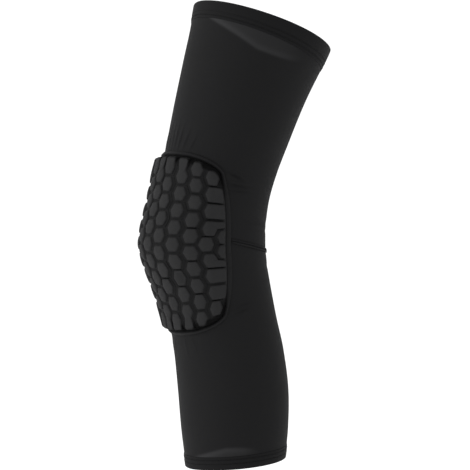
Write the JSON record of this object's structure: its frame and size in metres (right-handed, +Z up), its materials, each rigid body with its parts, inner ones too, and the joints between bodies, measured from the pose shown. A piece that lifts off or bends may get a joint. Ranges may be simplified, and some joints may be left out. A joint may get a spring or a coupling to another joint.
{
  "type": "knee pad sleeve",
  "caption": "Long knitted knee sleeve, bent as worn, with a honeycomb foam pad over the kneecap, a flat border round the pad, folded hems at thigh and calf and a flat seam behind the knee.",
  "frame": {"origin": "middle of the knee inside the sleeve, where the leg fills it, at the height of the knee line", "axes": "+Z up the leg towards the thigh hem, -Y to the front of the knee where the pad is, +X to the side"},
  "size_m": [0.137, 0.2013, 0.4676],
  "materials": {
    "knit": "matte black stretch knit",
    "hem_knit": "matte black folded knit",
    "pad_cloth": "black knit bonded over moulded foam",
    "border_cloth": "black knit pressed flat",
    "thread": "black overlock thread"
  },
  "bodies": {
    "root": {"thigh_panel": "knit", "calf_panel": "knit", "thigh_hem": "hem_knit", "calf_hem": "hem_knit", "back_seam": "thread", "hex_pad": "pad_cloth", "pad_border": "border_cloth"}
  },
  "joints": []
}
